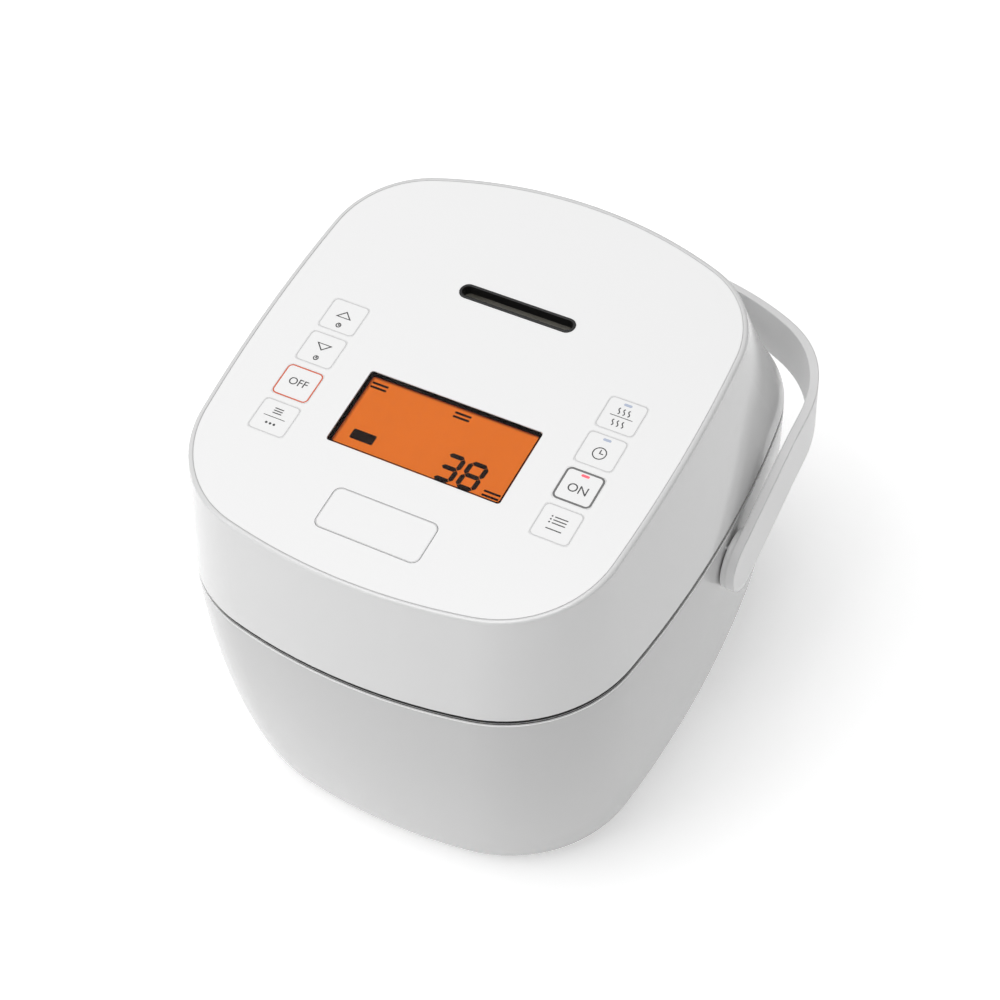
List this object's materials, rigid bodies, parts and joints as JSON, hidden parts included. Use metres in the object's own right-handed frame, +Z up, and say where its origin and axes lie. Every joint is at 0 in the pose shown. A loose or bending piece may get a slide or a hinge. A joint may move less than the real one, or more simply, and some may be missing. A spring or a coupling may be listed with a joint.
{
  "type": "rice cooker",
  "caption": "Countertop induction rice cooker with a hinged lid, tilted key panel and amber display, inner pot, steam vent, release button with latch, and a swinging carry handle.",
  "frame": {"origin": "on the surface that the cooker stands on, under the middle of its width and of its depth, carry handle included", "axes": "+X to the cooker's right as its user faces it, +Y to its back where the lid hinge is, +Z up"},
  "size_m": [0.244, 0.3074, 0.2257],
  "materials": {
    "white_shell": "glossy white moulding",
    "white_panel": "smooth white sheet",
    "grey_plastic": "satin grey moulding",
    "inner_plastic": "plain heat-resistant moulding",
    "black_plastic": "satin black moulding",
    "display_glow": "amber backlit display",
    "clear_window": "clear window",
    "rubber": "matt rubber",
    "silicone": "soft silicone",
    "pot_metal": "dark non-stick coating",
    "bare_aluminium": "bare sheet",
    "steel": "plain steel",
    "pin_brass": "plated contact",
    "coil_copper": "enamelled copper winding",
    "ferrite": "sintered bar",
    "circuit_board": "coated circuit board",
    "solenoid_case": "plated case"
  },
  "bodies": {
    "body": {"body_shell": "white_shell", "base_cover": "grey_plastic", "rubber_feet": "rubber", "base_screws": "steel", "body_rim": "grey_plastic", "rim_screws": "steel", "inner_pot": "pot_metal", "pot_well": "bare_aluminium", "induction_coil": "coil_copper", "coil_holder": "inner_plastic", "ferrite_bars": "ferrite", "side_heater": "steel", "sensor_holder": "inner_plastic", "sensor_spring": "steel", "fan_frame": "black_plastic", "power_board": "circuit_board", "heat_sink": "bare_aluminium", "board_components": "black_plastic", "power_inlet": "grey_plastic", "inlet_pins": "pin_brass", "handle_pins": "steel", "latch_catch": "inner_plastic", "hinge_brackets": "steel", "hinge_pin": "steel", "hinge_cover": "grey_plastic", "lid_spring": "steel"},
    "lid": {"lid_shell": "white_shell", "lid_base": "grey_plastic", "lid_screws": "steel", "lid_heater": "bare_aluminium", "inner_lid": "steel", "lid_gasket": "silicone", "top_panel": "white_panel", "display_window": "clear_window", "display_frame": "black_plastic", "display_module": "display_glow", "control_board": "circuit_board", "board_screws": "steel", "key_switches": "black_plastic", "latch_pin": "steel", "latch_spring": "steel", "hinge_arms": "steel", "vent_bezel": "black_plastic", "steam_duct": "inner_plastic", "pressure_solenoid": "solenoid_case", "valve_housing": "inner_plastic"},
    "handle": {"carry_handle": "white_shell"},
    "release": {"release_button": "white_panel"},
    "latch": {"latch_lever": "inner_plastic"},
    "plunger": {"solenoid_plunger": "steel"},
    "sensor": {"sensor_cap": "bare_aluminium"},
    "fan": {"fan_rotor": "black_plastic"},
    "key_up_cap": {"key_up": "white_panel"},
    "key_down_cap": {"key_down": "white_panel"},
    "key_cancel_cap": {"key_cancel": "white_panel"},
    "key_menu_cap": {"key_menu": "white_panel"},
    "key_keep_warm_cap": {"key_keep_warm": "white_panel"},
    "key_timer_cap": {"key_timer": "white_panel"},
    "key_cook_cap": {"key_cook": "white_panel"},
    "key_course_cap": {"key_course": "white_panel"}
  },
  "joints": [
    {"name": "lid_hinge", "type": "hinge", "parent": "body", "child": "lid", "pos_m": [0, 0.1245, 0.1415], "axis": [-1, 0, 0], "range_deg": [0, 85], "deforming": ["lid_spring"]},
    {"name": "handle_swing", "type": "hinge", "parent": "body", "child": "handle", "pos_m": [0, 0.0016, 0.1208], "axis": [1, 0, 0], "range_deg": [0, 90]},
    {"name": "release_press", "type": "slide", "parent": "lid", "child": "release", "axis": [0, 0.1464, -0.9892], "range_m": [0, 0.003], "stiffness_N_per_m": 300, "springref_m": -0.002},
    {"name": "latch_turn", "type": "hinge", "parent": "lid", "child": "latch", "pos_m": [0, -0.1375, 0.163], "axis": [-1, 0, 0], "range_deg": [0, 7.22], "deforming": ["latch_spring"]},
    {"name": "valve_slide", "type": "slide", "parent": "lid", "child": "plunger", "axis": [1, 0, 0], "range_m": [0, 0.003], "stiffness_N_per_m": 200, "springref_m": -0.002},
    {"name": "sensor_slide", "type": "slide", "parent": "body", "child": "sensor", "axis": [0, 0, 1], "range_m": [-0.003, 0], "stiffness_N_per_m": 500, "springref_m": 0.004, "deforming": ["sensor_spring"]},
    {"name": "fan_spin", "type": "hinge", "parent": "body", "child": "fan", "pos_m": [0.038, 0.066, 0.01], "axis": [0, 0, 1], "continuous": true},
    {"name": "key_up_press", "type": "slide", "parent": "lid", "child": "key_up_cap", "axis": [0, 0.1464, -0.9892], "range_m": [0, 0.0005], "stiffness_N_per_m": 300, "springref_m": -0.001},
    {"name": "key_down_press", "type": "slide", "parent": "lid", "child": "key_down_cap", "axis": [0, 0.1464, -0.9892], "range_m": [0, 0.0005], "stiffness_N_per_m": 300, "springref_m": -0.001},
    {"name": "key_cancel_press", "type": "slide", "parent": "lid", "child": "key_cancel_cap", "axis": [0, 0.1464, -0.9892], "range_m": [0, 0.0005], "stiffness_N_per_m": 300, "springref_m": -0.001},
    {"name": "key_menu_press", "type": "slide", "parent": "lid", "child": "key_menu_cap", "axis": [0, 0.1464, -0.9892], "range_m": [0, 0.0005], "stiffness_N_per_m": 300, "springref_m": -0.001},
    {"name": "key_keep_warm_press", "type": "slide", "parent": "lid", "child": "key_keep_warm_cap", "axis": [0, 0.1464, -0.9892], "range_m": [0, 0.0005], "stiffness_N_per_m": 300, "springref_m": -0.001},
    {"name": "key_timer_press", "type": "slide", "parent": "lid", "child": "key_timer_cap", "axis": [0, 0.1464, -0.9892], "range_m": [0, 0.0005], "stiffness_N_per_m": 300, "springref_m": -0.001},
    {"name": "key_cook_press", "type": "slide", "parent": "lid", "child": "key_cook_cap", "axis": [0, 0.1464, -0.9892], "range_m": [0, 0.0005], "stiffness_N_per_m": 300, "springref_m": -0.001},
    {"name": "key_course_press", "type": "slide", "parent": "lid", "child": "key_course_cap", "axis": [0, 0.1464, -0.9892], "range_m": [0, 0.0005], "stiffness_N_per_m": 300, "springref_m": -0.001}
  ],
  "couplings": [
    {"joint": "latch_turn", "follows": "release_press", "rad_per_m": 42}
  ]
}
